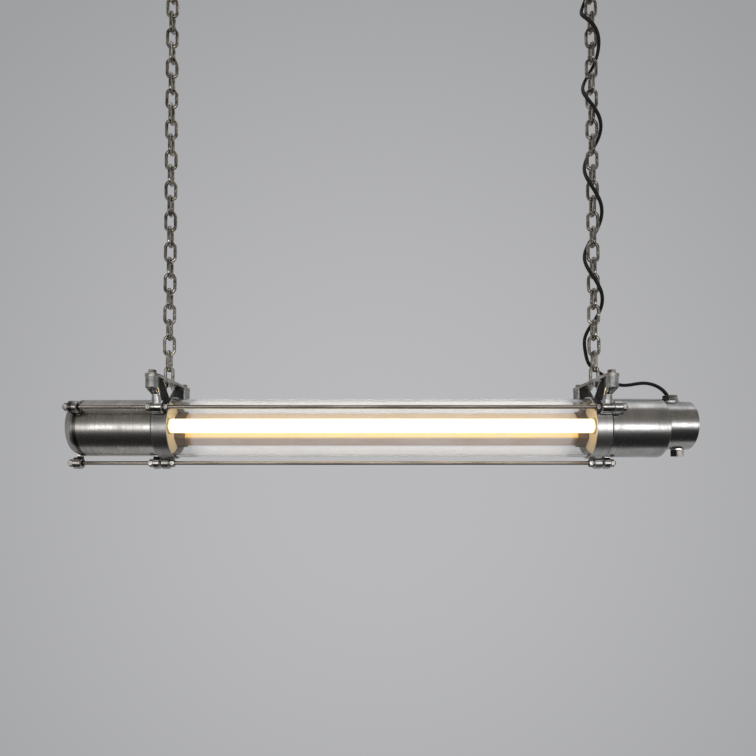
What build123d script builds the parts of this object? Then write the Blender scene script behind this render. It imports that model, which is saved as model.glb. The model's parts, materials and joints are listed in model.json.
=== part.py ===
# Industrial tube light: a glass tube clamped between two cast casings by three tie rods,
# hung level on two link chains. Built about the lamp axis (X along the glass, Z up, Y to the rear)
# and then lowered so that the origin lies on the ceiling, midway between the chains.
from build123d import *
from math import cos, hypot, pi, radians, sin, tan
import os

# Glass, seals and gaskets
glass_radius = 55.0
glass_wall = 4.5
glass_length = 828.0
seal_thickness = 1.0
seal_length = 12.0
gasket_thickness = 2.0
seal_gap = 0.1

# Collars round the glass ends
collar_length = 28.0
collar_wall = 2.0
collar_edge = 0.6

# Casings and terminal chamber
casing_bore_step = 1.5
left_casing_wall = 4.0
left_casing_length = 157.0
dome_length = 22.0
dome_step = 0.8
dome_bulge = 2.3
dome_face_radius = 47.5
left_bore_round = 10.0
right_casing_wall = 6.2
right_casing_length = 104.0
casing_end_wall = 5.0
casing_edge = 1.0
chamber_radius = 45.2
chamber_lift = 4.5
chamber_length = 55.0
chamber_wall = 4.0
chamber_gasket_thickness = 1.0
chamber_way_margin = 7.0
chamber_screw_radius = 2.5
chamber_screw_head_radius = 4.2
chamber_screw_head_height = 3.0
chamber_screw_depth = 12.0
chamber_screw_inset = 5.2
chamber_boss_radius = 6.0

# Tie rods, their lugs and fasteners
rod_radius = 3.6
rod_end_spare = 3.0
hole_gap = 0.3
lug_radius = 11.0
lug_edge = 1.5
web_width = 14.0
web_sink = 11.0
casing_lug_length = 13.0
collar_lug_length = 15.0
collar_lug_inset = 1.0
end_lug_length = 16.0
upper_end_lug_inset = 13.0
lower_end_lug_reach = 6.0
web_end_inset = 3.0
end_lug_recess_radius = 7.0
end_lug_recess_depth = 4.0
nut_width = 13.0
nut_height = 6.5
nut_edge = 1.2
washer_margin = 0.7
washer_thickness = 1.5

# Hangers, straps and U-bolts
hanger_inset = 12.0
foot_radius = 12.0
foot_length = 22.0
collar_gap = 0.3
post_lean = 25.0
neck_lean = 7.0
post_base_diameter = 21.0
post_neck_diameter = 14.5
post_boss_diameter = 23.0
post_neck_z = 54.0
post_boss_z = 64.0
post_top_z = 83.0
rib_thickness = 8.0
rib_top_y = 42.0
rib_foot_y = 11.0
strap_width = 25.0
strap_thickness = 5.0
bolt_radius = 4.0
bolt_length = 20.0
bolt_head_height = 5.5
u_bolt_wire_radius = 3.0
u_bolt_half_width = 7.0
u_bolt_crown_z = 115.0
u_nut_width = 10.0
u_nut_height = 6.0
u_leg_spare = 4.0

# Chains
link_wire_radius = 3.0
link_half_width = 9.25
link_half_length = 18.0
link_count = 25
chain_slack = 0.3

# Ceiling plates, eyes and rose
eye_drop = 40.0
plate_width = 60.0
plate_depth = 110.0
plate_thickness = 5.0
plate_corner = 12.0
ceiling_hole_radius = 3.5
ceiling_hole_spacing = 86.0
rose_radius = 30.0
rose_depth = 24.0
rose_wall = 2.0
rose_flex_y = 19.0
bush_flange_radius = 7.5
bush_flange_thickness = 2.0
bush_wall = 2.0
connector_width = 20.0
connector_depth = 12.0
connector_height = 14.0

# Lamp, lampholders, discs and tray
lamp_radius = 13.0
lamp_wall = 1.0
lamp_y = -12.0
lamp_z = 3.0
cap_length = 12.0
cap_wall = 0.5
cap_gap = 0.1
pin_radius = 1.2
pin_length = 7.0
pin_half_spacing = 6.35
pin_gap = 0.15
holder_gap = 0.5
holder_radius = 20.0
holder_length = 17.0
holder_reach = 7.5
holder_flange_thickness = 4.0
groove_depth = 9.0
disc_inset = 18.0
disc_thickness = 3.0
disc_gap = 0.4
disc_rim_wall = 2.5
disc_rim_length = 56.0
lamp_hole_gap = 0.9
tray_glass_gap = 3.8
tray_depth = 18.0
tray_front_half = 17.0
tray_back_half = 32.0
tray_sheet = 1.5
tray_gap = 0.3
bracket_length = 20.0
bracket_wall = 2.5
bracket_pocket = 12.0
ballast_length = 84.0
ballast_width = 38.0
ballast_height = 44.0

# Gland, plug, terminal block and wires
gland_inset = 23.5
gland_width = 27.0
gland_nut_width = 25.0
gland_body_height = 5.0
gland_nut_height = 5.8
gland_shank_radius = 10.0
gland_bore_radius = 6.3
gland_mouth_radius = 9.0
gland_pad_radius = 16.0
gland_pad_rise = 0.6
gland_seal_height = 4.0
plug_inset = 36.0
plug_width = 22.0
plug_height = 12.4
plug_shank_radius = 8.0
plug_pad_radius = 13.0
shank_depth = 6.0
block_inset = 13.0
block_width = 28.0
block_height = 17.7
block_drop = 10.6
wire_radius = 1.2
tray_wire_inset = 8.0

# Flex: hand-chosen route points as (x from the right chain, y, z above the lamp axis)
flex_radius = 3.25
flex_gap = 0.3
flex_end_offset = -0.1
flex_lower_points = [
    (-10.6, 14.8, 144.7),
    (-7.964, 16.35, 132.76),
    (-1.4, 18.2, 122.1),
    (8.4, 19.7, 114.1),
    (19.4, 19.8, 107.3),
    (29.0, 18.0, 99.6),
    (37.5, 15.0, 91.5),
    (46.5, 11.6, 85.2),
    (57.0, 8.2, 82.0),
    (69.0, 5.0, 82.4),
    (82.0, 2.5, 84.6),
    (95.0, 0.8, 85.6),
    (108.0, 0.0, 83.4),
    (120.0, 0.0, 78.6),
    (130.4, 0.0, 71.2),
    (137.8, 0.0, 61.5),
    (141.5, 0.0, 50.8),
    (142.4, 0.0, 40.1),
]
flex_chain_points = [
    (-11.2, 11.4, 821.5),
    (-16.6, 6.9, 808.0),
    (-18.2, -3.6, 793.0),
    (-11.2, -14.2, 776.5),
    (0.0, -18.7, 760.5),
    (10.5, -13.0, 743.5),
    (14.5, 0.0, 726.5),
    (11.0, 13.0, 708.0),
    (0.0, 18.5, 690.0),
    (-11.5, 13.0, 668.0),
    (-17.2, 0.0, 646.0),
    (-12.0, -13.0, 623.0),
    (0.0, -18.5, 601.0),
    (12.0, -13.0, 584.0),
    (17.5, 0.0, 568.0),
    (12.5, 13.0, 551.0),
    (0.0, 18.5, 535.0),
    (-10.5, 13.0, 511.0),
    (-15.0, 0.0, 488.0),
    (-11.0, -13.0, 464.0),
    (0.0, -18.5, 441.0),
    (12.5, -13.0, 421.0),
    (17.5, 0.0, 402.0),
    (12.5, 13.0, 382.0),
    (0.0, 18.5, 362.0),
    (-11.5, 13.0, 340.0),
    (-16.5, 0.0, 317.0),
    (-12.0, -13.0, 294.0),
    (0.0, -18.5, 272.0),
    (12.0, -13.0, 252.0),
    (16.5, 0.0, 233.0),
    (11.0, 14.2, 214.0),
    (-1.5, 18.8, 195.5),
    (-11.6, 15.6, 177.5),
    (-14.0, 12.8, 160.1),
    (-10.6, 14.8, 144.7),
]
flex_top_points = [
    (0.0, 19.0, 872.2),
    (0.0, 19.0, 859.5),
    (-1.8, 18.6, 846.5),
    (-6.4, 15.4, 833.5),
    (-11.2, 11.4, 821.5),
]

# Places worked out from the sizes above
seam_x = glass_length / 2
casing_face_x = seam_x + gasket_thickness
left_end_x = -(casing_face_x + left_casing_length)
right_end_x = casing_face_x + right_casing_length
chamber_start_x = right_end_x + chamber_gasket_thickness
chamber_end_x = chamber_start_x + chamber_length
casing_bore = glass_radius - glass_wall - casing_bore_step
left_casing_radius = casing_bore + left_casing_wall
right_casing_radius = casing_bore + right_casing_wall
collar_bore = glass_radius + seal_thickness + 2 * seal_gap
collar_radius = collar_bore + collar_wall
hanger_x = seam_x - hanger_inset
collar_start_x = seam_x - collar_length
rod_hole_radius = rod_radius + hole_gap
bolt_hole_radius = bolt_radius + hole_gap
washer_radius = nut_width / 2 + washer_margin
nut_corner_radius = nut_width / 2 / cos(pi / 6)
widest_radius = max(collar_radius, left_casing_radius, right_casing_radius)
rod_circle = widest_radius + max(nut_corner_radius, washer_radius) + collar_gap
rod_places = {
    "front": (-rod_circle * cos(radians(30)), rod_circle * sin(radians(30))),
    "rear": (rod_circle * cos(radians(30)), rod_circle * sin(radians(30))),
    "bottom": (0.0, -rod_circle),
}
foot_start_x = hanger_x - foot_length / 2
foot_end_x = hanger_x + foot_length / 2
casing_lug_end_x = casing_face_x + casing_lug_length
collar_lug_end_x = seam_x - collar_lug_inset
collar_lug_start_x = collar_lug_end_x - collar_lug_length
upper_end_lug_x = left_end_x + upper_end_lug_inset
lower_end_lug_x = left_end_x - lower_end_lug_reach
fastener_height = washer_thickness + nut_height
post_base_y, post_base_z = rod_places["rear"]
post_top_y = post_base_y + post_lean
strap_top_z = post_top_z + strap_thickness
link_seat = u_bolt_wire_radius + link_wire_radius + chain_slack
link_pitch = 2 * (link_half_length - link_wire_radius) - chain_slack
first_link_z = u_bolt_crown_z - link_seat + link_half_length
last_link_z = first_link_z + link_pitch * (link_count - 1)
eye_crown_z = last_link_z + link_half_length - link_seat
ceiling_z = eye_crown_z + eye_drop
plate_bottom_z = ceiling_z - plate_thickness
rose_bottom_z = plate_bottom_z - rose_depth
disc_face_x = seam_x - disc_inset
disc_back_x = disc_face_x + disc_thickness
disc_radius = casing_bore - disc_gap
disc_rim_end_x = disc_back_x + disc_rim_length
tray_rim_radius = glass_radius - glass_wall - tray_glass_gap
tray_back_y = (tray_rim_radius**2 - tray_back_half**2) ** 0.5
tray_front_y = tray_back_y - tray_depth
tray_wire_y = tray_back_y - tray_wire_inset
holder_face_x = disc_rim_end_x - holder_reach
holder_back_x = holder_face_x + holder_length
lamp_end_x = holder_face_x - holder_gap
cap_radius = lamp_radius + cap_gap + cap_wall
chamber_bore = chamber_radius - chamber_wall
chamber_screw_circle = chamber_bore - chamber_screw_inset
chamber_way_radius = chamber_screw_circle - chamber_way_margin
gland_x = chamber_start_x + gland_inset
gland_seat_z = chamber_lift + chamber_radius + gland_pad_rise
plug_x = chamber_start_x + plug_inset
plug_seat_z = chamber_lift - chamber_radius - gland_pad_rise
block_left_x = chamber_start_x + block_inset
block_top_z = gland_seat_z - block_drop
block_bottom_z = block_top_z - block_height
flex_hole_radius = flex_radius + flex_gap


def along_x(radius, start, end, y=0.0, z=0.0):
    """A round bar that lies along X."""
    middle = (start + end) / 2
    return Pos(middle, y, z) * Rot(0, 90, 0) * Cylinder(radius, abs(end - start))


def upright(radius, bottom, top, x, y):
    """A round bar that stands along Z."""
    return Pos(x, y, (bottom + top) / 2) * Cylinder(radius, top - bottom)


def block(x_span, y_span, z_span):
    """A box given by its two limits along each axis."""
    centre = [(low + high) / 2 for low, high in (x_span, y_span, z_span)]
    size = [high - low for low, high in (x_span, y_span, z_span)]
    return Pos(*centre) * Box(*size)


def hex_piece(width, height, edge):
    """A hex nut or bolt head standing on the XY plane, its corners turned down by a chamfer."""
    prism = extrude(RegularPolygon(width / 2, 6, major_radius=False), height)
    turned = Pos(0, 0, height / 2) * Cylinder(width / 2 / cos(pi / 6), height)
    turned = chamfer(turned.edges().filter_by(GeomType.CIRCLE), edge, edge * 0.6)
    return prism & turned


def hex_along_x(width, start, end, y, z):
    """A hex piece that lies along X from start to end."""
    return Pos(start, y, z) * Rot(0, 90, 0) * hex_piece(width, end - start, nut_edge)


def group(pieces):
    """Separate solids kept together as one node."""
    return Compound(children=[solid for piece in pieces for solid in piece.solids()])


def lug(start, end, place):
    """A round lug along X at a tie rod, with the web that joins it to the casting."""
    y, z = place
    boss = along_x(lug_radius, start, end, y, z)
    boss = chamfer(boss.edges().filter_by(GeomType.CIRCLE), lug_edge)
    reach = hypot(y, z)
    web_span = (casing_bore - web_sink, reach)
    web_start = max(start + lug_edge, left_end_x + web_end_inset)
    web = block((web_start, end - lug_edge), (-web_width / 2, web_width / 2), web_span)
    turn = Vector(0, 0, 1).get_signed_angle(Vector(0, y, z), Vector(1, 0, 0))
    return boss + Rot(turn, 0, 0) * web


def rod_hole(start, end, place):
    """The hole that a tie rod passes through."""
    return along_x(rod_hole_radius, start - 1, end + 1, *place)


def u_piece(wire_radius, half_width, leg):
    """A wire U with its crown up: two legs down from the XY plane and a half ring over them."""
    ring = revolve(Pos(half_width, 0) * Circle(wire_radius), Axis((0, 0, 0), (0, -1, 0)), 180)
    legs = [upright(wire_radius, -leg, 0, side * half_width, 0) for side in (-1, 1)]
    return ring + legs[0] + legs[1]


def chain_link():
    """One welded link in the XZ plane, centred on the origin."""
    straight = link_half_length - link_half_width
    upper = Pos(0, 0, straight) * u_piece(link_wire_radius, link_half_width, straight)
    return upper + mirror(upper, Plane.XY)


def left_casing_part():
    """The left casing: a cup with a domed end, three end lugs and one lug below at the seam."""
    dome_start_x = left_end_x + dome_length
    shoulder = (dome_start_x, left_casing_radius - dome_step)
    side = Polyline(
        (-casing_face_x, 0),
        (-casing_face_x, left_casing_radius - casing_edge),
        (-casing_face_x - casing_edge, left_casing_radius),
        (dome_start_x, left_casing_radius),
        shoulder,
    )
    dome = SagittaArc(shoulder, (left_end_x, dome_face_radius), -dome_bulge)
    back = Polyline((left_end_x, dome_face_radius), (left_end_x, 0), (-casing_face_x, 0))
    cup = revolve(make_face(side + dome + back), Axis.X)
    hollow = along_x(casing_bore, left_end_x + casing_end_wall, -casing_face_x)
    far_rim = hollow.edges().filter_by(GeomType.CIRCLE).sort_by(Axis.X)[0]
    hollow = fillet(far_rim, left_bore_round)
    lug_starts = {"front": upper_end_lug_x, "rear": upper_end_lug_x, "bottom": lower_end_lug_x}
    for name, start in lug_starts.items():
        end = start + end_lug_length
        cup += lug(start, end, rod_places[name])
        cup -= rod_hole(start, end, rod_places[name])
        cup -= along_x(end_lug_recess_radius, end - end_lug_recess_depth, end + 1, *rod_places[name])
    cup += lug(-casing_lug_end_x, -casing_face_x, rod_places["bottom"])
    cup -= rod_hole(-casing_lug_end_x, -casing_face_x, rod_places["bottom"])
    return cup - hollow


def right_casing_part():
    """The right casing: a drum with three seam lugs and an end wall open to the chamber."""
    drum = along_x(right_casing_radius, casing_face_x, right_end_x)
    drum = chamfer(drum.edges().filter_by(GeomType.CIRCLE), casing_edge)
    lug_starts = {"front": foot_end_x, "rear": foot_end_x, "bottom": casing_face_x}
    for name, start in lug_starts.items():
        drum += lug(start, casing_lug_end_x, rod_places[name])
        drum -= rod_hole(start, casing_lug_end_x, rod_places[name])
    drum -= along_x(collar_radius + collar_gap, collar_start_x, casing_face_x)
    drum -= along_x(casing_bore, casing_face_x, right_end_x - casing_end_wall)
    drum -= along_x(chamber_way_radius, right_end_x - casing_end_wall - 1, right_end_x + 1, 0, chamber_lift)
    for y, z in chamber_screw_places():
        drum -= along_x(chamber_screw_radius + hole_gap, right_end_x - casing_end_wall, right_end_x, y, z)
    return drum


def chamber_screw_places():
    """Where the four screws that hold the terminal chamber stand, as (y, z)."""
    turns = [radians(angle) for angle in (45, 135, 225, 315)]
    return [(chamber_screw_circle * cos(t), chamber_lift + chamber_screw_circle * sin(t)) for t in turns]


def terminal_chamber_part():
    """The terminal chamber: a cup with inner screw bosses and pads for the gland and the plug."""
    cup = along_x(chamber_radius, chamber_start_x, chamber_end_x, 0, chamber_lift)
    cup = chamfer(cup.edges().filter_by(GeomType.CIRCLE), casing_edge)
    cup += upright(gland_pad_radius, chamber_lift, gland_seat_z, gland_x, 0)
    cup += upright(plug_pad_radius, plug_seat_z, chamber_lift, plug_x, 0)
    cup -= along_x(chamber_bore, chamber_start_x, chamber_end_x - chamber_wall, 0, chamber_lift)
    cup_wall = along_x(chamber_radius - chamber_wall / 2, chamber_start_x, chamber_end_x - 1, 0, chamber_lift)
    boss_end_x = chamber_start_x + chamber_screw_depth
    for y, z in chamber_screw_places():
        cup += along_x(chamber_boss_radius, chamber_start_x, boss_end_x, y, z) & cup_wall
        cup -= along_x(chamber_screw_radius + hole_gap, chamber_start_x, boss_end_x - 1, y, z)
    cup -= upright(gland_shank_radius + hole_gap, chamber_lift, gland_seat_z + 1, gland_x, 0)
    cup -= upright(plug_shank_radius + hole_gap, plug_seat_z - 1, chamber_lift, plug_x, 0)
    return cup


def chamber_screws_part():
    """Four screws put in from inside the casing, through its end wall into the chamber's bosses."""
    head_face_x = right_end_x - casing_end_wall
    tip_x = chamber_start_x + chamber_screw_depth - 2
    screws = []
    for y, z in chamber_screw_places():
        head = along_x(chamber_screw_head_radius, head_face_x - chamber_screw_head_height, head_face_x, y, z)
        screws.append(head + along_x(chamber_screw_radius, head_face_x, tip_x, y, z))
    return group(screws)


def collar_part():
    """The right collar: a ring round the glass end with its bottom lug. The left one is its mirror."""
    ring = along_x(collar_radius, collar_start_x, seam_x)
    ring = chamfer(ring.edges().filter_by(GeomType.CIRCLE), collar_edge)
    ring += lug(collar_lug_start_x, collar_lug_end_x, rod_places["bottom"])
    ring -= rod_hole(collar_lug_start_x, collar_lug_end_x, rod_places["bottom"])
    return ring - along_x(collar_bore, collar_start_x - 1, seam_x + 1)


def ring_piece(inner, outer, start, end):
    """A plain ring about the lamp axis."""
    return along_x(outer, start, end) - along_x(inner, start - 1, end + 1)


def both_ends(right_piece):
    """A right-hand piece with its mirror at the left end."""
    return group([right_piece, mirror(right_piece, Plane.YZ)])


def tie_rod_part(name):
    """One tie rod, from its nut at the left end to its nut at the right casing."""
    lug_start = lower_end_lug_x if name == "bottom" else upper_end_lug_x
    start = lug_start - fastener_height - rod_end_spare
    end = casing_lug_end_x + fastener_height + rod_end_spare
    return along_x(rod_radius, start, end, *rod_places[name])


def nut_seats(name):
    """The faces that the nuts of one tie rod press on, each with the side that the nut lies on."""
    if name == "bottom":
        seats = [(lower_end_lug_x, -1), (-casing_lug_end_x, -1), (-collar_lug_start_x, 1)]
        return seats + [(collar_lug_start_x, -1), (casing_lug_end_x, 1)]
    seats = [(upper_end_lug_x, -1), (-foot_end_x, -1), (-foot_start_x, 1)]
    return seats + [(foot_start_x, -1), (casing_lug_end_x, 1)]


def tie_rod_fasteners():
    """All the hex nuts and all the washers of the three tie rods."""
    nuts = []
    washers = []
    for name, place in rod_places.items():
        for face, side in nut_seats(name):
            seat = face + side * washer_thickness
            outer = seat + side * nut_height
            hole = along_x(rod_hole_radius, min(face, outer) - 1, max(face, outer) + 1, *place)
            nuts.append(hex_along_x(nut_width, min(seat, outer), max(seat, outer), *place) - hole)
            washers.append(along_x(washer_radius, min(face, seat), max(face, seat), *place) - hole)
    return group(nuts), group(washers)


def hanger_part():
    """The right rear hanger: a foot on the tie rod, a post with a boss set outwards at its top, and a rib."""
    foot = along_x(foot_radius, foot_start_x, foot_end_x, post_base_y, post_base_z)
    foot = chamfer(foot.edges().filter_by(GeomType.CIRCLE), lug_edge)
    levels = [
        (post_base_z, post_base_y, post_base_diameter),
        (post_neck_z, post_base_y + neck_lean, post_neck_diameter),
        (post_boss_z, post_top_y, post_boss_diameter),
        (post_top_z, post_top_y, post_boss_diameter),
    ]
    rounds = []
    for z, y, diameter in levels:
        rounds.append(Pos(hanger_x, y, z) * Circle(diameter / 2))
    post = loft(rounds, ruled=True)
    outline = [(rib_foot_y, 0), (rib_foot_y, collar_radius), (rib_top_y, post_top_z)]
    outline += [(post_top_y, post_top_z), (post_base_y, post_base_z)]
    rib_plane = Plane((hanger_x, 0, 0), x_dir=(0, 1, 0), z_dir=(1, 0, 0))
    rib = extrude(rib_plane * make_face(Polyline(*outline, close=True)), rib_thickness / 2, both=True)
    body = foot + post + rib
    body -= along_x(collar_radius + collar_gap, foot_start_x - 1, foot_end_x + 1)
    body -= rod_hole(foot_start_x, foot_end_x, rod_places["rear"])
    return body - upright(bolt_hole_radius, post_top_z - bolt_length, post_top_z, hanger_x, post_top_y)


def strap_part():
    """The right strap: a flat bar with round ends that joins the two posts."""
    bar = Rectangle(strap_width, 2 * post_top_y)
    for side in (-1, 1):
        bar += Pos(0, side * post_top_y) * Circle(strap_width / 2)
        bar -= Pos(0, side * post_top_y) * Circle(bolt_hole_radius)
        bar -= Pos(side * u_bolt_half_width, 0) * Circle(u_bolt_wire_radius + hole_gap)
    return Pos(hanger_x, 0, post_top_z) * extrude(bar, strap_thickness)


def strap_fasteners():
    """The right strap's two bolts and two washers."""
    bolts = []
    washers = []
    for y in (-post_top_y, post_top_y):
        head_z = strap_top_z + washer_thickness
        shank = upright(bolt_radius, post_top_z - bolt_length + 1, head_z, hanger_x, y)
        bolts.append(shank + Pos(hanger_x, y, head_z) * hex_piece(nut_width, bolt_head_height, nut_edge))
        hole = upright(bolt_hole_radius, strap_top_z - 1, head_z + 1, hanger_x, y)
        washers.append(upright(washer_radius, strap_top_z, head_z, hanger_x, y) - hole)
    return bolts, washers


def u_bolt_part():
    """The right U-bolt: its crown holds the chain and its legs pass through the strap."""
    bend_z = u_bolt_crown_z - u_bolt_half_width
    leg = bend_z - post_top_z + washer_thickness + u_nut_height + u_leg_spare
    return Pos(hanger_x, 0, bend_z) * u_piece(u_bolt_wire_radius, u_bolt_half_width, leg)


def u_bolt_nuts():
    """The two nuts under the right strap."""
    nuts = []
    for side in (-1, 1):
        x = hanger_x + side * u_bolt_half_width
        nut = Pos(x, 0, post_top_z - u_nut_height) * hex_piece(u_nut_width, u_nut_height, nut_edge)
        nuts.append(nut - upright(u_bolt_wire_radius + hole_gap, 0, post_top_z + 1, x, 0))
    return nuts


def chain_links(side):
    """Top link, the links between and end link of one chain. Even links stand edge-on."""
    flat_link = chain_link()
    edge_link = Rot(0, 0, 90) * flat_link
    links = []
    for number in range(link_count):
        shape = flat_link if number % 2 else edge_link
        links.append(Pos(side * hanger_x, 0, first_link_z + link_pitch * number) * shape)
    return links[-1], group(links[1:-1]), links[0]


def ceiling_plate_part(side):
    """A ceiling plate with two screw holes."""
    plate = RectangleRounded(plate_width, plate_depth, plate_corner)
    for end in (-1, 1):
        plate -= Pos(0, end * ceiling_hole_spacing / 2) * Circle(ceiling_hole_radius)
    return Pos(side * hanger_x, 0, plate_bottom_z) * extrude(plate, plate_thickness)


def ceiling_eye_part(side):
    """The eye under a ceiling plate: a wire U, crown down, that the top link hangs in."""
    leg = plate_bottom_z - eye_crown_z - link_half_width
    eye = Rot(180, 0, 0) * u_piece(link_wire_radius, link_half_width, leg)
    return Pos(side * hanger_x, 0, eye_crown_z + link_half_width) * eye


def ceiling_rose_part():
    """The cup that hides the flex connection at the right ceiling plate."""
    cup = upright(rose_radius, rose_bottom_z, plate_bottom_z, hanger_x, 0)
    lower_rim = cup.edges().filter_by(GeomType.CIRCLE).sort_by(Axis.Z)[0]
    cup = fillet(lower_rim, 2 * rose_wall)
    cup -= upright(rose_radius - rose_wall, rose_bottom_z + rose_wall, plate_bottom_z, hanger_x, 0)
    for side in (-1, 1):
        x = hanger_x + side * link_half_width
        cup -= upright(link_wire_radius + hole_gap, rose_bottom_z - 1, plate_bottom_z, x, 0)
    bush_radius = flex_hole_radius + bush_wall + hole_gap
    return cup - upright(bush_radius, rose_bottom_z - 1, plate_bottom_z, hanger_x, rose_flex_y)


def rose_bush_part():
    """The rubber bush that leads the flex into the rose."""
    low = rose_bottom_z - bush_flange_thickness
    bush = upright(bush_flange_radius, low, rose_bottom_z, hanger_x, rose_flex_y)
    sleeve_top = rose_bottom_z + rose_wall + bush_flange_thickness
    bush += upright(flex_hole_radius + bush_wall, low, sleeve_top, hanger_x, rose_flex_y)
    return bush - upright(flex_hole_radius, low - 1, sleeve_top + 1, hanger_x, rose_flex_y)


def rose_connector_part():
    """The connector block on the ceiling plate that the flex ends in."""
    x_span = (hanger_x - connector_width / 2, hanger_x + connector_width / 2)
    y_span = (rose_flex_y - connector_depth / 2, rose_flex_y + connector_depth / 2)
    return block(x_span, y_span, (plate_bottom_z - connector_height, plate_bottom_z))


def lamp_tube_part():
    """The lamp's own glass tube, between its caps."""
    end = lamp_end_x - cap_wall
    tube = along_x(lamp_radius, -end, end, lamp_y, lamp_z)
    return tube - along_x(lamp_radius - lamp_wall, -end + 1, end - 1, lamp_y, lamp_z)


def lamp_cap():
    """The right cap of the lamp, which closes its glass tube and carries the pins."""
    start = lamp_end_x - cap_length
    cap = along_x(cap_radius, start, lamp_end_x, lamp_y, lamp_z)
    return cap - along_x(lamp_radius + cap_gap, start, lamp_end_x - cap_wall, lamp_y, lamp_z)


def lamp_pins():
    """The two contact pins of the right cap."""
    heights = [lamp_z - pin_half_spacing, lamp_z + pin_half_spacing]
    return group([along_x(pin_radius, lamp_end_x, lamp_end_x + pin_length, lamp_y, z) for z in heights])


def lampholder_part():
    """The right lampholder: a boss with a ring groove in which the pins turn, and a round flange."""
    flange_end_x = disc_rim_end_x + holder_flange_thickness
    holder = along_x(holder_radius, holder_face_x, holder_back_x, lamp_y, lamp_z)
    holder += along_x(disc_radius, disc_rim_end_x, flange_end_x)
    groove_outer = pin_half_spacing + pin_radius + pin_gap
    groove_inner = pin_half_spacing - pin_radius - pin_gap
    groove_end_x = holder_face_x + groove_depth
    groove = along_x(groove_outer, holder_face_x - 1, groove_end_x, lamp_y, lamp_z)
    groove -= along_x(groove_inner, holder_face_x - 2, groove_end_x + 1, lamp_y, lamp_z)
    return holder - groove


def end_disc_part():
    """The right end disc: a dish that closes the glass bore, with a rim that slides into the casing."""
    dish = along_x(disc_radius, disc_face_x, disc_rim_end_x)
    dish -= along_x(disc_radius - disc_rim_wall, disc_back_x, disc_rim_end_x)
    dish -= along_x(cap_radius + lamp_hole_gap, disc_face_x, disc_back_x, lamp_y, lamp_z)
    return dish - along_x(wire_radius + hole_gap, disc_face_x, disc_back_x, tray_wire_y, 0)


def tray_section(grow):
    """The tray's outline, flat front and slanted skirts, grown outwards by a given amount."""
    run = tray_back_y - tray_front_y
    rise = tray_back_half - tray_front_half
    widen = grow * hypot(run, rise) / run
    front_y = tray_front_y - grow
    front_half = tray_front_half - grow * rise / run + widen
    back_half = tray_back_half + widen
    corners = [(front_y, -front_half), (front_y, front_half)]
    corners += [(tray_back_y, back_half), (tray_back_y, -back_half)]
    return make_face(Polyline(*corners, close=True))


def tray_bar(grow, start, end):
    """The tray's outline drawn out along X."""
    section_plane = Plane((start, 0, 0), x_dir=(0, 1, 0), z_dir=(1, 0, 0))
    return extrude(section_plane * tray_section(grow), end - start)


def tray_part():
    """The tray behind the lamp: a folded sheet, open at the back."""
    end = disc_face_x - bracket_length + bracket_pocket
    return tray_bar(0, -end, end) - tray_bar(-tray_sheet, -end - 1, end + 1)


def tray_bracket_part():
    """The right bracket, which holds the tray's end to the disc."""
    start = disc_face_x - bracket_length
    pocket_end = start + bracket_pocket + tray_gap
    bracket = tray_bar(bracket_wall, start, disc_face_x)
    bracket -= tray_bar(tray_gap, start - 1, pocket_end)
    return bracket - along_x(wire_radius + hole_gap, start, disc_face_x + 1, tray_wire_y, 0)


def gland_parts():
    """The gland's body, its compression nut and the seal between them."""
    body_top_z = gland_seat_z + gland_body_height
    nut_top_z = body_top_z + gland_nut_height
    shank_bottom_z = gland_seat_z - shank_depth
    bore = upright(gland_bore_radius, shank_bottom_z - 1, nut_top_z, gland_x, 0)
    mouth = Cone(gland_bore_radius, gland_mouth_radius, gland_nut_height)
    mouth = Pos(gland_x, 0, (body_top_z + nut_top_z) / 2) * mouth
    body = Pos(gland_x, 0, gland_seat_z) * hex_piece(gland_width, gland_body_height, nut_edge)
    body += upright(gland_shank_radius, shank_bottom_z, gland_seat_z, gland_x, 0)
    nut = Pos(gland_x, 0, body_top_z) * hex_piece(gland_nut_width, gland_nut_height, nut_edge)
    seal_top_z = shank_bottom_z + gland_seal_height
    seal = upright(gland_bore_radius - seal_gap, shank_bottom_z, seal_top_z, gland_x, 0)
    # The seal's hole has the flex's own bend, and its place comes from the gland
    hole_shift = gland_x + flex_end_offset - hanger_x - flex_lower_points[-1][0]
    seal_hole = Pos(hole_shift, 0, 0) * flex_tube("lower", flex_hole_radius)
    return body - bore, nut - mouth, seal - seal_hole


def blanking_plug_part():
    """The hex plug that closes the second cable entry, below the chamber."""
    head = Pos(plug_x, 0, plug_seat_z - plug_height) * hex_piece(plug_width, plug_height, nut_edge)
    return head + upright(plug_shank_radius, plug_seat_z, plug_seat_z + shank_depth, plug_x, 0)


def terminal_block_part():
    """The terminal block on the chamber's end wall, under the gland."""
    x_span = (block_left_x, chamber_end_x - chamber_wall)
    return block(x_span, (-block_width / 2, block_width / 2), (block_bottom_z, block_top_z))


def ballast_part():
    """The ballast on the end wall inside the left casing."""
    start = left_end_x + casing_end_wall
    y_span = (-ballast_width / 2, ballast_width / 2)
    return block((start, start + ballast_length), y_span, (-ballast_height / 2, ballast_height / 2))


def rounded_route(points):
    """Straight runs joined by the largest arcs that the runs leave room for, with the arcs' radii."""
    corners = [Vector(*point) for point in points]
    radii = []
    for before, corner, after in zip(corners, corners[1:], corners[2:]):
        shorter = min((corner - before).length, (after - corner).length)
        turn = radians((corner - before).get_angle(after - corner))
        radii.append(0.45 * shorter / tan(turn / 2))
    return FilletPolyline(*corners, radius=radii), radii


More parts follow.
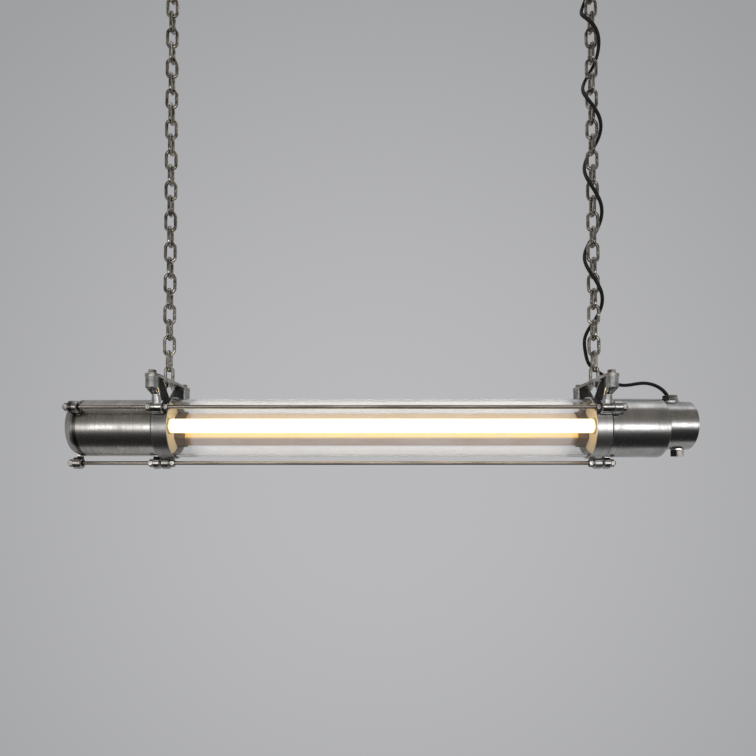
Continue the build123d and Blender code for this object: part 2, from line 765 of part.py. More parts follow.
def tube_along(points, radius, name):
    """A round tube along a route. Prints its radii, and its volume against section times length."""
    path, radii = rounded_route(points)
    first_run = Vector(*points[1]) - Vector(*points[0])
    start = Plane(Vector(*points[0]), z_dir=first_run)
    tube = sweep(start * Circle(radius), path)
    share = tube.volume / (pi * radius**2 * path.length)
    print(name, "length", round(path.length, 1), "volume share", round(share, 4))
    print(name, "radii", [round(value, 1) for value in radii])
    return tube


def flex_tube(stretch, radius):
    """One stretch of the flex, as a tube of a given radius along its route."""
    routes = {"lower": flex_lower_points, "chain": flex_chain_points, "top": flex_top_points}
    points = [(hanger_x + x, y, z) for x, y, z in routes[stretch]]
    return tube_along(points, radius, "flex " + stretch)


def supply_wires_part():
    """Two wires from the terminal block to the back of the right lampholder."""
    wires = []
    for side in (-1, 1):
        route = [
            (block_left_x, side * 4, block_bottom_z + 8),
            (block_left_x - 14, side * 4, block_bottom_z + 8),
            (block_left_x - 29, side * 3 - 4, block_bottom_z + 1),
            (holder_back_x + 25, lamp_y + side * 3 + 3, lamp_z + 10),
            (holder_back_x + 12, lamp_y + side * 3, lamp_z + 4),
            (holder_back_x, lamp_y + side * 3, lamp_z + 3),
        ]
        wires.append(tube_along(route, wire_radius, "supply wire"))
    return group(wires)


def tray_wire_part():
    """The wire that runs along the tray, from one lampholder flange to the other."""
    return along_x(wire_radius, -disc_rim_end_x, disc_rim_end_x, tray_wire_y, 0)


# The nodes
parts = {}
parts["glass_tube"] = ring_piece(glass_radius - glass_wall, glass_radius, -seam_x, seam_x)
parts["left_casing"] = left_casing_part()
parts["right_casing"] = right_casing_part()
parts["terminal_chamber"] = terminal_chamber_part()
parts["chamber_screws"] = chamber_screws_part()
parts["right_collar"] = collar_part()
parts["left_collar"] = mirror(parts["right_collar"], Plane.YZ)
seal_inner = glass_radius + seal_gap
glass_seal = ring_piece(seal_inner, seal_inner + seal_thickness, seam_x - seal_length, seam_x)
parts["glass_seals"] = both_ends(glass_seal)
parts["flange_gaskets"] = both_ends(ring_piece(casing_bore, glass_radius, seam_x, casing_face_x))
chamber_gasket = along_x(chamber_radius - casing_edge, right_end_x, chamber_start_x, 0, chamber_lift)
chamber_gasket -= along_x(chamber_way_radius, right_end_x - 1, chamber_start_x + 1, 0, chamber_lift)
for y, z in chamber_screw_places():
    chamber_gasket -= along_x(chamber_screw_radius + hole_gap, right_end_x - 1, chamber_start_x + 1, y, z)
parts["chamber_gasket"] = chamber_gasket
for name in rod_places:
    parts["tie_rod_" + name] = tie_rod_part(name)
parts["tie_rod_nuts"], parts["tie_rod_washers"] = tie_rod_fasteners()
right_rear = hanger_part()
right_front = mirror(right_rear, Plane.XZ)
parts["hanger_right_rear"] = right_rear
parts["hanger_right_front"] = right_front
parts["hanger_left_rear"] = mirror(right_rear, Plane.YZ)
parts["hanger_left_front"] = mirror(right_front, Plane.YZ)
parts["right_strap"] = strap_part()
parts["left_strap"] = mirror(parts["right_strap"], Plane.YZ)
bolts, washers = strap_fasteners()
parts["strap_bolts"] = both_ends(group(bolts))
parts["strap_washers"] = both_ends(group(washers))
parts["right_u_bolt"] = u_bolt_part()
parts["left_u_bolt"] = mirror(parts["right_u_bolt"], Plane.YZ)
parts["u_bolt_nuts"] = both_ends(group(u_bolt_nuts()))
for side, name in ((-1, "left"), (1, "right")):
    top_link, between, end_link = chain_links(side)
    parts[name + "_top_link"] = top_link
    parts[name + "_chain_links"] = between
    parts[name + "_end_link"] = end_link
    parts[name + "_ceiling_plate"] = ceiling_plate_part(side)
    parts[name + "_ceiling_eye"] = ceiling_eye_part(side)
parts["ceiling_rose"] = ceiling_rose_part()
parts["rose_bush"] = rose_bush_part()
parts["rose_connector"] = rose_connector_part()
parts["lamp_tube"] = lamp_tube_part()
parts["lamp_caps"] = both_ends(lamp_cap())
parts["lamp_pins"] = both_ends(lamp_pins())
parts["right_lampholder"] = lampholder_part()
parts["left_lampholder"] = mirror(parts["right_lampholder"], Plane.YZ)
parts["right_end_disc"] = end_disc_part()
parts["left_end_disc"] = mirror(parts["right_end_disc"], Plane.YZ)
parts["lamp_tray"] = tray_part()
parts["tray_brackets"] = both_ends(tray_bracket_part())
parts["ballast"] = ballast_part()
parts["gland_body"], parts["gland_nut"], parts["gland_seal"] = gland_parts()
parts["blanking_plug"] = blanking_plug_part()
parts["terminal_block"] = terminal_block_part()
parts["supply_wires"] = supply_wires_part()
parts["tray_wire"] = tray_wire_part()
parts["flex_lower"] = flex_tube("lower", flex_radius)
parts["flex_chain"] = flex_tube("chain", flex_radius)
parts["flex_top"] = flex_tube("top", flex_radius)

os.makedirs("parts", exist_ok=True)
for name, shape in parts.items():
    export_step(Pos(0, 0, -ceiling_z) * shape, "parts/" + name + ".step")
print(len(parts), "nodes, lamp axis", round(ceiling_z, 2), "mm below the ceiling")
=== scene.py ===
# %% [markdown]
# # A tube light on chains
# The object is an industrial pendant light: a glass tube held between cast casings by tie rods, hung
# level on link chains. Its solids come from a CAD model in metres, with the origin on the ceiling midway
# between the chains, +X towards the cable entry and +Z up. This lesson gives each solid its finish, lays
# the flex, adds the small details that solids leave out, and lights the whole as in a plain studio.

# %% Load the frame
import json
import math

import bmesh
import bpy
import numpy as np
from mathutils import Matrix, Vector


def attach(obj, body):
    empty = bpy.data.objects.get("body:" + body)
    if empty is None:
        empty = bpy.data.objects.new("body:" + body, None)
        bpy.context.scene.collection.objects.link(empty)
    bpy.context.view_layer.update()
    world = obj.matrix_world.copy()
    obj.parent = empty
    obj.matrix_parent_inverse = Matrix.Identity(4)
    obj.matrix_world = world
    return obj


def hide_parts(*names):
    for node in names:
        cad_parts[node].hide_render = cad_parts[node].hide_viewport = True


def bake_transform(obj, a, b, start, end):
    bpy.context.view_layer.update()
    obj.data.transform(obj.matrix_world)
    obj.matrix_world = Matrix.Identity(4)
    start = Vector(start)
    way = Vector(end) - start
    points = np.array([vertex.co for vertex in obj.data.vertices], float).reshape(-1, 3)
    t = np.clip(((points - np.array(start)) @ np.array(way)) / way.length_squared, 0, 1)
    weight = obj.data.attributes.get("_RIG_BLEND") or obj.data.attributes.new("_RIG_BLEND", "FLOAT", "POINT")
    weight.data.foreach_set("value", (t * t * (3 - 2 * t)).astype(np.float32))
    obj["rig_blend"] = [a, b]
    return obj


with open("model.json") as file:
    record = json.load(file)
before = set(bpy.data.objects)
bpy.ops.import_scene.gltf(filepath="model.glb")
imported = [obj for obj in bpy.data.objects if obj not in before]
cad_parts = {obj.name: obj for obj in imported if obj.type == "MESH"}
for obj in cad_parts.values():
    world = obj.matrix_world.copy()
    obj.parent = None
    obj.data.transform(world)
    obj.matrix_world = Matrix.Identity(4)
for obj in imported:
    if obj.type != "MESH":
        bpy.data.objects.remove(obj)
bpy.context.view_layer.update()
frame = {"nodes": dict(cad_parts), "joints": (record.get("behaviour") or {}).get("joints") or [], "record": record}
nodes = frame["nodes"]
joint_at = {joint["name"]: Vector(joint["pos_m"]) for joint in frame["joints"]}
u_bolt_crown = 0.115
lamp_axis = joint_at["roll"].z - u_bolt_crown
chain_x = joint_at["swing"].x
print("nodes", len(nodes), "lamp axis at", round(lamp_axis, 4), "chains at x", chain_x)

# %% [markdown]
# ## Camera
# The photograph looks at the middle of the glass from a little over a metre away, slightly below the
# lamp, and its frame is lifted so that the chains fill the upper half. The chains lean together by only a
# few pixels, so the camera was tipped up by no more than a degree or two, and a vertical shift of the
# lens did the rest.

# %% Camera
frame_pixels = 756
focal_pixels = 584
horizon_pixel = 479
sensor_width = 36.0
camera_data = bpy.data.cameras.new("camera")
camera_data.sensor_width = sensor_width
camera_data.lens = focal_pixels / frame_pixels * sensor_width
tip = math.radians(1.5)
centre_pixel = horizon_pixel - focal_pixels * math.tan(tip)
camera_data.shift_y = (centre_pixel - frame_pixels / 2) / frame_pixels
camera = bpy.data.objects.new("camera", camera_data)
bpy.context.scene.collection.objects.link(camera)
camera_aside = -0.007
camera_away = 1.100
camera_below = 0.096
camera.location = (camera_aside, -camera_away, lamp_axis - camera_below)
camera.rotation_euler = (math.radians(90) + tip, 0, 0)
bpy.context.scene.camera = camera
print("lens", round(camera_data.lens, 2), "shift", round(camera_data.shift_y, 4))

# %% [markdown]
# ## The flex
# A black mains flex comes out of a gland on the terminal chamber, lies over the casing and winds up the
# right chain to the ceiling. It is one flex in three routes, because the chain turns at its top and
# bottom links: the middle one goes along with the chain, and the two at its ends bend. A NURBS spline
# with the route's points as control points gives the soft line of a real flex. The points are metres from
# the chain and the lamp axis.

# %% Flex routes
flex_diameter = 0.0065
lower_route = [
    (-0.0106, 0.0148, 0.1447), (-0.00796, 0.01635, 0.13276), (-0.0014, 0.0182, 0.1221),
    (0.0084, 0.0197, 0.1141), (0.0194, 0.0198, 0.1073), (0.0290, 0.0180, 0.0996),
    (0.0375, 0.0150, 0.0915), (0.0465, 0.0116, 0.0852), (0.0570, 0.0082, 0.0820),
    (0.0690, 0.0050, 0.0824), (0.0820, 0.0025, 0.0846), (0.0950, 0.0008, 0.0856),
    (0.1080, 0.0000, 0.0834), (0.1200, 0.0000, 0.0786), (0.1304, 0.0000, 0.0712),
    (0.1378, 0.0000, 0.0615), (0.1415, 0.0000, 0.0508), (0.1424, 0.0000, 0.0401),
]
chain_route = [
    (-0.0112, 0.0114, 0.8215), (-0.0166, 0.0069, 0.8080), (-0.0182, -0.0036, 0.7930),
    (-0.0112, -0.0142, 0.7765), (0.0000, -0.0187, 0.7605), (0.0105, -0.0130, 0.7435),
    (0.0145, 0.0000, 0.7265), (0.0110, 0.0130, 0.7080), (0.0000, 0.0185, 0.6900),
    (-0.0115, 0.0130, 0.6680), (-0.0172, 0.0000, 0.6460), (-0.0120, -0.0130, 0.6230),
    (0.0000, -0.0185, 0.6010), (0.0120, -0.0130, 0.5840), (0.0175, 0.0000, 0.5680),
    (0.0125, 0.0130, 0.5510), (0.0000, 0.0185, 0.5350), (-0.0105, 0.0130, 0.5110),
    (-0.0150, 0.0000, 0.4880), (-0.0110, -0.0130, 0.4640), (0.0000, -0.0185, 0.4410),
    (0.0125, -0.0130, 0.4210), (0.0175, 0.0000, 0.4020), (0.0125, 0.0130, 0.3820),
    (0.0000, 0.0185, 0.3620), (-0.0115, 0.0130, 0.3400), (-0.0165, 0.0000, 0.3170),
    (-0.0120, -0.0130, 0.2940), (0.0000, -0.0185, 0.2720), (0.0120, -0.0130, 0.2520),
    (0.0165, 0.0000, 0.2330), (0.0110, 0.0142, 0.2140), (-0.0015, 0.0188, 0.1955),
    (-0.0116, 0.0156, 0.1775), (-0.0140, 0.0128, 0.1601), (-0.0106, 0.0148, 0.1447),
]
top_route = [
    (0.0000, 0.0190, 0.8722), (0.0000, 0.0190, 0.8595), (-0.0018, 0.0186, 0.8465),
    (-0.0064, 0.0154, 0.8335), (-0.0112, 0.0114, 0.8215),
]
print("route points", len(lower_route), len(chain_route), len(top_route))

# %% [markdown]
# ## A tube along a route
# Blender can thicken a curve by itself, but a finish that follows the flex needs to know how far along it
# each point lies. So the curve is turned into a mesh twice: once thin, as a centreline to measure along,
# and once thick. Each point of the thick mesh then keeps the distance of the centreline point nearest to
# it.

# %% A tube along a route
def spline_curve(name, route):
    """A curve object with one NURBS spline through the route's control points."""
    curve = bpy.data.curves.new(name, "CURVE")
    curve.dimensions = "3D"
    spline = curve.splines.new("NURBS")
    spline.points.add(len(route) - 1)
    for point, (x, y, z) in zip(spline.points, route):
        point.co = (chain_x + x, y, lamp_axis + z, 1)
    spline.order_u = 3
    spline.use_endpoint_u = True
    spline.resolution_u = 8
    return bpy.data.objects.new(name, curve)


def mesh_of(piece):
    """The mesh that a curve object shows."""
    bpy.context.scene.collection.objects.link(piece)
    bpy.context.view_layer.update()
    shown = piece.evaluated_get(bpy.context.evaluated_depsgraph_get())
    mesh = bpy.data.meshes.new_from_object(shown)
    bpy.context.scene.collection.objects.unlink(piece)
    return mesh


def flex_piece(name, route):
    """A flex stretch as a mesh tube, with the distance along it kept on its points, and its centreline."""
    line = mesh_of(spline_curve(name + "_line", route))
    path = np.array([vertex.co for vertex in line.vertices])
    sheath = spline_curve(name + "_sheath", route)
    sheath.data.bevel_depth = flex_diameter / 2
    sheath.data.bevel_resolution = 4
    sheath.data.use_fill_caps = True
    mesh = mesh_of(sheath)
    mesh.shade_smooth()
    steps = np.linalg.norm(np.diff(path, axis=0), axis=1)
    reached = np.concatenate([[0.0], np.cumsum(steps)])
    places = np.array([vertex.co for vertex in mesh.vertices])
    nearest = [int(np.argmin(((path - place) ** 2).sum(axis=1))) for place in places]
    along = mesh.attributes.new("along", "FLOAT", "POINT")
    along.data.foreach_set("value", reached[nearest].astype(np.float32))
    piece = bpy.data.objects.new(name, mesh)
    bpy.context.scene.collection.objects.link(piece)
    print(name, "length", round(float(reached[-1]), 4), "faces", len(mesh.polygons))
    return piece, path, float(reached[-1])


print("flex diameter", flex_diameter)

# %% [markdown]
# ## Half a stretch
# The chain turns on its first and its last link. A stretch that only rode on the chain would part from
# its neighbours there by 1.5 mm when the lamp sways, and one piece bends at one joint only. So the
# stretch along the chain is laid twice, and each copy keeps one half: the lower one bends at the last
# link, the upper at the first.

# %% Half a stretch
def keep_half(piece, cut, upper):
    """Keeps the faces of a stretch before the cut, or past it for the upper half."""
    work = bmesh.new()
    work.from_mesh(piece.data)
    along = work.verts.layers.float["along"]
    spare = []
    for face in work.faces:
        reached = sum(vertex[along] for vertex in face.verts) / len(face.verts)
        if (reached < cut) == upper:
            spare.append(face)
    bmesh.ops.delete(work, geom=spare, context="FACES")
    work.to_mesh(piece.data)
    work.free()
    print(piece.name, "keeps", len(piece.data.polygons), "faces")


def chain_half(name, upper):
    """One half of the stretch along the chain, with its centreline and length."""
    piece, line, length = flex_piece(name, chain_route[::-1])
    middle = len(line) // 2
    low_line = line[:middle + 1]
    cut = float(np.linalg.norm(np.diff(low_line, axis=0), axis=1).sum())
    keep_half(piece, cut, upper)
    if upper:
        return piece, line[middle:], length - cut
    return piece, low_line, cut


flex_low, low_path, low_length = chain_half("flex_chain_low_sheath", upper=False)
flex_high, high_path, high_length = chain_half("flex_chain_high_sheath", upper=True)

# %% [markdown]
# ## Lay the flex
# Each stretch starts at its lower end. The lowest is held by the gland on the fixture and by the last
# link, and the top one by the first link and the ceiling rose, so these two are blended between the two
# bodies that hold them. The halves along the chain follow it, apart from the 30 mm next to a link, where
# they go over to that link. The last 12 mm of the flex lie in the rose and its bush, and stay still with
# the ceiling.

# %% Lay the flex
flex_lower, lower_path, lower_length = flex_piece("flex_lower_sheath", lower_route[::-1])
flex_top, top_path, top_length = flex_piece("flex_top_sheath", top_route[::-1])
bend_reach = np.array((0, 0, 0.03))
bush_depth = np.array((0, 0, 0.012))
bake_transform(flex_lower, "right_end_link", "fixture", start=lower_path[-1], end=lower_path[0])
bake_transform(flex_low, "right_chain", "right_end_link", start=low_path[0] + bend_reach, end=low_path[0])
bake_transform(flex_high, "right_chain", "right_top_link", start=high_path[-1] - bend_reach, end=high_path[-1])
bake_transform(flex_top, "right_top_link", "ceiling", start=top_path[0], end=top_path[-1] - bush_depth)
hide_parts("flex_lower")
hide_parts("flex_chain")
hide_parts("flex_chain")
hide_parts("flex_top")
flexes = [flex_lower, flex_low, flex_high, flex_top]

# %% [markdown]
# ## Thread ends
# Each tie rod ends in a screw thread that stands a few millimetres out of its nut. A thread is a ridge
# wound along a helix, so one small triangle is spun round the rod with a little lift at each step. A
# stack of rings would be simpler, but its ridges would not lean and run out as a real thread does.

# %% Thread ends
thread_pitch = 0.00125
thread_rise = 0.00025
thread_sink = 0.0001
thread_turns = 1.2
turn_steps = 24
tip_edge = 0.0004


def box_of(name):
    """The low and high corners of a node, measured on its points."""
    points = np.array([vertex.co for vertex in nodes[name].data.vertices])
    return points.min(axis=0), points.max(axis=0)


def wind_thread(form, tip_x, inward, axis_y, axis_z, radius):
    """Winds a thread ridge round a rod, from its tip inwards."""
    start = tip_x + inward * tip_edge
    root = axis_z + radius - thread_sink
    crest = axis_z + radius + thread_rise
    corners = [form.verts.new((start, axis_y, root)),
               form.verts.new((start + inward * thread_pitch / 2, axis_y, crest)),
               form.verts.new((start + inward * thread_pitch, axis_y, root))]
    sides = [form.edges.new((corners[i - 1], corners[i])) for i in range(3)]
    lift = (inward * thread_pitch / turn_steps, 0, 0)
    bmesh.ops.spin(form, geom=corners + sides, cent=(0, axis_y, axis_z), axis=(1, 0, 0), dvec=lift,
                   angle=2 * math.pi * thread_turns, steps=round(turn_steps * thread_turns))


def detail_piece(name, form, body, slot):
    """Closes a bmesh, links it as an object and ties it to a body and a material slot."""
    bmesh.ops.holes_fill(form, edges=[edge for edge in form.edges if edge.is_boundary])
    bmesh.ops.recalc_face_normals(form, faces=form.faces)
    mesh = bpy.data.meshes.new(name)
    form.to_mesh(mesh)
    form.free()
    piece = bpy.data.objects.new(name, mesh)
    bpy.context.scene.collection.objects.link(piece)
    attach(piece, body)
    details.append((piece, slot))
    print(name, "faces", len(mesh.polygons), "on", body)
    return piece


details = []
form = bmesh.new()
for name in ("tie_rod_front", "tie_rod_rear", "tie_rod_bottom"):
    rod_low, rod_high = box_of(name)
    rod_radius = (rod_high[1] - rod_low[1]) / 2
    axis_y, axis_z = (rod_low[1:] + rod_high[1:]) / 2
    wind_thread(form, rod_low[0], 1, axis_y, axis_z, rod_radius)
    wind_thread(form, rod_high[0], -1, axis_y, axis_z, rod_radius)
detail_piece("tie_rod_threads", form, "fixture", "rod_steel")

# %% [markdown]
# ## Chain welds
# A chain link is a bent rod whose ends are welded together in the middle of one long side, and the weld
# leaves a slight swelling there. The links stand in a straight row and turn by a quarter from one to the
# next, so their places follow from the box round the row. Each swelling is a short arc spun round the
# wire.

# %% Chain welds
link_wire = 0.003
link_length = 0.042
link_pitch = 0.030
weld_half = 0.0026
weld_rise = 0.00025
weld_sink = 0.0002
weld_segments = 16


def swell_weld(form, x, y, z):
    """A weld's swelling round an upright wire."""
    foot = link_wire - weld_sink
    shoulder = link_wire + weld_rise * 0.7
    crown = link_wire + weld_rise
    outline = [(foot, -1.0), (shoulder, -0.6), (crown, 0.0), (shoulder, 0.6), (foot, 1.0)]
    corners = [form.verts.new((x + reach, y, z + share * weld_half)) for reach, share in outline]
    sides = [form.edges.new(pair) for pair in zip(corners, corners[1:])]
    bmesh.ops.spin(form, geom=corners + sides, cent=(x, y, z), axis=(0, 0, 1), angle=2 * math.pi,
                   steps=weld_segments, use_merge=True)


def weld_links(name, node, body):
    """Puts a weld on each link of a chain node, on the outer side of the link."""
    low, high = box_of(node)
    middle = (low + high) / 2
    run = high[2] - low[2] - link_length
    count = round(run / link_pitch) + 1
    form = bmesh.new()
    for step in range(count):
        z = low[2] + link_length / 2 + run * step / max(count - 1, 1)
        if count > 1 and step % 2 == 0:
            swell_weld(form, high[0] - link_wire, middle[1], z)
        else:
            swell_weld(form, middle[0], high[1] - link_wire, z)
    detail_piece(name, form, body, "chain_steel").data.shade_smooth()


for side in ("left", "right"):
    weld_links(side + "_chain_welds", side + "_chain_links", side + "_chain")
    weld_links(side + "_top_weld", side + "_top_link", side + "_top_link")
    weld_links(side + "_end_weld", side + "_end_link", side + "_end_link")

# %% [markdown]
# ## Helpers for finishes
# Every finish is a node tree on the object's own coordinates, so it stays put when the object turns.
# Colours are written as sRGB hex, as a colour picker shows them, and one function turns them to the
# linear values that the shader wants. One more function adds a node with its settings and links, which
# keeps each finish short.

# %% Helpers for finishes
def linear(code):
    """An sRGB hex colour as linear red, green, blue and alpha."""
    parts = [int(code[i:i + 2], 16) / 255 for i in (1, 3, 5)]
    return [v / 12.92 if v <= 0.04045 else ((v + 0.055) / 1.055) ** 2.4 for v in parts] + [1.0]


def add(tree, kind, inputs, **settings):
    """Adds a node, sets its properties, and links or sets its inputs."""
    node = tree.nodes.new(kind)
    for name, value in settings.items():
        setattr(node, name, value)
    for key, value in inputs.items():
        if isinstance(value, bpy.types.NodeSocket):
            tree.links.new(value, node.inputs[key])
        else:
            node.inputs[key].default_value = value
    return node


def start_finish(name):
    """A new material with its node tree, its shader and its object coordinates."""
    material = bpy.data.materials.new(name)
    material.use_nodes = True
    tree = material.node_tree
    shader = tree.nodes["Principled BSDF"]
    place = add(tree, "ShaderNodeTexCoord", {}).outputs["Object"]
    return material, tree, shader, place


def per_mm(size):
    """The texture scale at which one feature is that many millimetres wide."""
    return 1000.0 / size


def painted_shade_share(tree, place, inner, outer):
    """From 0 to 1: how far a point lies in the gap between two distances from the lamp axis: the mask for painted
    shade.
    """
    level = add(tree, "ShaderNodeVectorMath", {0: place, 1: (0, 0, lamp_axis)}, operation="SUBTRACT")
    level = add(tree, "ShaderNodeVectorMath", {0: level.outputs[0], 1: (0, 1, 1)}, operation="MULTIPLY")
    radius = add(tree, "ShaderNodeVectorMath", {0: level.outputs[0]}, operation="LENGTH")
    inner_fade = 0.0008
    outer_fade = 0.002
    rise = add(tree, "ShaderNodeMapRange", {"Value": radius.outputs["Value"], "From Min": inner,
                                            "From Max": inner + inner_fade})
    fall = add(tree, "ShaderNodeMapRange", {"Value": radius.outputs["Value"], "From Min": outer - outer_fade,
                                            "From Max": outer, "To Min": 1.0, "To Max": 0.0})
    share = add(tree, "ShaderNodeMath", {0: rise.outputs[0], 1: fall.outputs[0]}, operation="MULTIPLY")
    return share.outputs[0]


finishes = {}
# Near black for painted shade: gaps under lugs and by collars, a groove, and flat webs.
painted_shade_black = "#100F0E"
print("painted_shade_black", painted_shade_black)

# %% [markdown]
# ## Worn edges and painted highlights
# Hands, rags and spanners rub the edges first, so old metal is brighter along them, and edges catch
# thin glints of light; the near-white edge colour is partly that wear and partly a painted highlight. A
# bevel node gives the normal that a slightly rounded edge would have. Where that turns away from the true
# normal, an edge is near. Painting the edges by hand would also do, but not on sixty pieces.

# %% Worn edges and painted highlights
def edge_wear_and_highlight(tree, metal, bright, width):
    """A metal's colour, brightened along the edges by wear and a painted highlight."""
    rounded = add(tree, "ShaderNodeBevel", {"Radius": width}, samples=4)
    true = add(tree, "ShaderNodeNewGeometry", {})
    match = add(tree, "ShaderNodeVectorMath", {0: rounded.outputs[0], 1: true.outputs["Normal"]},
                operation="DOT_PRODUCT")
    worn = add(tree, "ShaderNodeMapRange", {"Value": match.outputs["Value"], "From Min": 0.97,
                                            "From Max": 0.80})
    return add(tree, "ShaderNodeMix", {0: worn.outputs[0], 6: metal, 7: linear(bright)},
               data_type="RGBA").outputs[2]


edge_wear_highlight_colour = "#F2F1EF"
edge_width = 0.0008
print("edge wear and painted highlights", edge_wear_highlight_colour, "over", edge_width * 1000, "mm")

# %% [markdown]
# ## Turned cast aluminium
# The casings are sand-cast aluminium, skimmed on a lathe and polished by hand. That leaves fine rings
# round the axis, which break a reflection into short streaks, and cloudy patches where the polish is
# thinner. The rings are noise squeezed along X. Real ones are about 0.3 mm apart, too fine to show here,
# so they are drawn 3 mm wide. The gap just outside the drum, under the lugs, is painted near black as
# painted shade, and on the left casing a dark ring of painted shade marks the step before its end.

# %% Turned cast aluminium
def turned_aluminium(name, bright, cloudy, roughness, drum, step_x=None):
    """Polished aluminium with lathe rings, painted shade outside the drum and, at step_x, a groove of painted
    shade.
    """
    material, tree, shader, place = start_finish(name)
    ring_scale = (per_mm(3), per_mm(120), per_mm(120))
    rings = add(tree, "ShaderNodeMapping", {"Vector": place, "Scale": ring_scale})
    rings = add(tree, "ShaderNodeTexNoise", {"Vector": rings.outputs[0], "Scale": 1.0, "Detail": 3.0})
    clouds = add(tree, "ShaderNodeTexNoise", {"Vector": place, "Scale": per_mm(45), "Detail": 5.0})
    ring_share = 0.35
    both = add(tree, "ShaderNodeMix", {0: ring_share, 2: clouds.outputs[0], 3: rings.outputs[0]})
    tone = add(tree, "ShaderNodeMapRange", {"Value": both.outputs[0], "From Min": 0.36, "From Max": 0.64})
    metal = add(tree, "ShaderNodeMix", {0: tone.outputs[0], 6: linear(cloudy), 7: linear(bright)},
                data_type="RGBA")
    metal = edge_wear_and_highlight(tree, metal.outputs[2], edge_wear_highlight_colour, edge_width)
    # Painted shade: near black in the gap outside the drum and, at step_x, in a ring round the casing.
    lug_shade = 0.0605
    gap = painted_shade_share(tree, place, drum, lug_shade)
    if step_x:
        across = add(tree, "ShaderNodeSeparateXYZ", {0: place})
        groove_half = 0.0035
        ring = add(tree, "ShaderNodeMath", {0: across.outputs[0], 1: step_x, 2: groove_half},
                   operation="COMPARE")
        groove_shade = 0.75
        ring = add(tree, "ShaderNodeMath", {0: ring.outputs[0], 1: groove_shade}, operation="MULTIPLY")
        gap = add(tree, "ShaderNodeMath", {0: gap, 1: ring.outputs[0]}, operation="MAXIMUM").outputs[0]
    colour = add(tree, "ShaderNodeMix", {0: gap, 6: metal, 7: linear(painted_shade_black)}, data_type="RGBA")
    grain = add(tree, "ShaderNodeMapRange", {"Value": both.outputs[0], "From Min": 0.3, "From Max": 0.7,
                                             "To Min": roughness + 0.06, "To Max": roughness - 0.04})
    bump = add(tree, "ShaderNodeBump", {"Height": rings.outputs[0], "Strength": 0.04, "Distance": 0.0002})
    tree.links.new(colour.outputs[2], shader.inputs["Base Color"])
    tree.links.new(grain.outputs[0], shader.inputs["Roughness"])
    tree.links.new(bump.outputs[0], shader.inputs["Normal"])
    shader.inputs["Metallic"].default_value = 1.0
    return material


finishes["polished_casting"] = turned_aluminium("turned_cast_aluminium", "#D6D5D3", "#ACABA9", 0.24, 0.0556)
# Painted shade: the left casing and collar are darker than the right ones for the weaker light on the left; the
# left casing is also rougher.
left_finish_painted_shade = turned_aluminium("dulled_turned_aluminium_painted_shade", "#CCC9C4", "#98948E", 0.28, 0.0534, -0.5545)
left_collar_painted_shade = turned_aluminium("satin_aluminium_painted_shade", "#B4B2AF", "#84827F", 0.33, 0.0586)
right_collar_finish = turned_aluminium("satin_turned_aluminium", "#DAD9D7", "#B8B7B5", 0.32, 0.0586)
print("finish", finishes["polished_casting"].name, left_finish_painted_shade.name, right_collar_finish.name)

# %% [markdown]
# ## Rough cast aluminium
# The hangers keep more of the sand mould's skin: a fine pebbled grain, dull and darker, with dirt in the
# hollows and brighter metal where hands and tools have rubbed. Flat webs that face along the lamp's axis,
# and the roots of the posts next to the collars, are painted almost black as painted shade, so the finish
# darkens with the surface's own direction.

# %% Rough cast aluminium
def rough_casting(name, rubbed, dirty, roughness):
    """Dull aluminium with a mould-skin grain, and painted shade: black flat webs and post roots."""
    material, tree, shader, place = start_finish(name)
    skin = add(tree, "ShaderNodeTexNoise", {"Vector": place, "Scale": per_mm(1.6), "Detail": 3.0})
    dirt = add(tree, "ShaderNodeTexNoise", {"Vector": place, "Scale": per_mm(14), "Detail": 6.0})
    share = add(tree, "ShaderNodeMapRange", {"Value": dirt.outputs[0], "From Min": 0.36, "From Max": 0.62})
    metal = add(tree, "ShaderNodeMix", {0: share.outputs[0], 6: linear(dirty), 7: linear(rubbed)},
                data_type="RGBA")
    metal = edge_wear_and_highlight(tree, metal.outputs[2], edge_wear_highlight_colour, edge_width)
    facing = add(tree, "ShaderNodeTexCoord", {})
    facing = add(tree, "ShaderNodeSeparateXYZ", {0: facing.outputs["Normal"]})
    facing = add(tree, "ShaderNodeMath", {0: facing.outputs[0]}, operation="ABSOLUTE")
    # Painted shade: faces that point along X, and the gap by the collar, are turned near black.
    web = add(tree, "ShaderNodeMapRange", {"Value": facing.outputs[0], "From Min": 0.97, "From Max": 0.995})
    hanger_foot = 0.050
    post_root = 0.0625
    gap = painted_shade_share(tree, place, hanger_foot, post_root)
    black = add(tree, "ShaderNodeMath", {0: web.outputs[0], 1: gap}, operation="MAXIMUM")
    colour = add(tree, "ShaderNodeMix", {0: black.outputs[0], 6: metal, 7: linear(painted_shade_black)},
                 data_type="RGBA")
    bare = add(tree, "ShaderNodeMath", {0: 1.0, 1: black.outputs[0]}, operation="SUBTRACT")
    dull = add(tree, "ShaderNodeMapRange", {"Value": dirt.outputs[0], "From Min": 0.3, "From Max": 0.7,
                                            "To Min": roughness + 0.08, "To Max": roughness - 0.05})
    dull = add(tree, "ShaderNodeMix", {0: black.outputs[0], 2: dull.outputs[0], 3: 0.8})
    bump = add(tree, "ShaderNodeBump", {"Height": skin.outputs[0], "Strength": 0.03, "Distance": 0.0004})
    tree.links.new(colour.outputs[2], shader.inputs["Base Color"])
    tree.links.new(dull.outputs[0], shader.inputs["Roughness"])
    tree.links.new(bump.outputs[0], shader.inputs["Normal"])
    tree.links.new(bare.outputs[0], shader.inputs["Metallic"])
    return material


finishes["dull_casting"] = rough_casting("rough_cast_aluminium", "#CAC9C7", "#8E8C89", 0.19)
print("finish", finishes["dull_casting"].name)

# %% [markdown]
# ## Old steel
# Rods, straps, nuts and chain are bare steel that has been cleaned and waxed: grey metal with brown-black
# stains left in the pores and bright rubbed spots. The same finish serves them all, with its own colours,
# roughness and stain size for each. On the drawn rods the stains are drawn out along them.

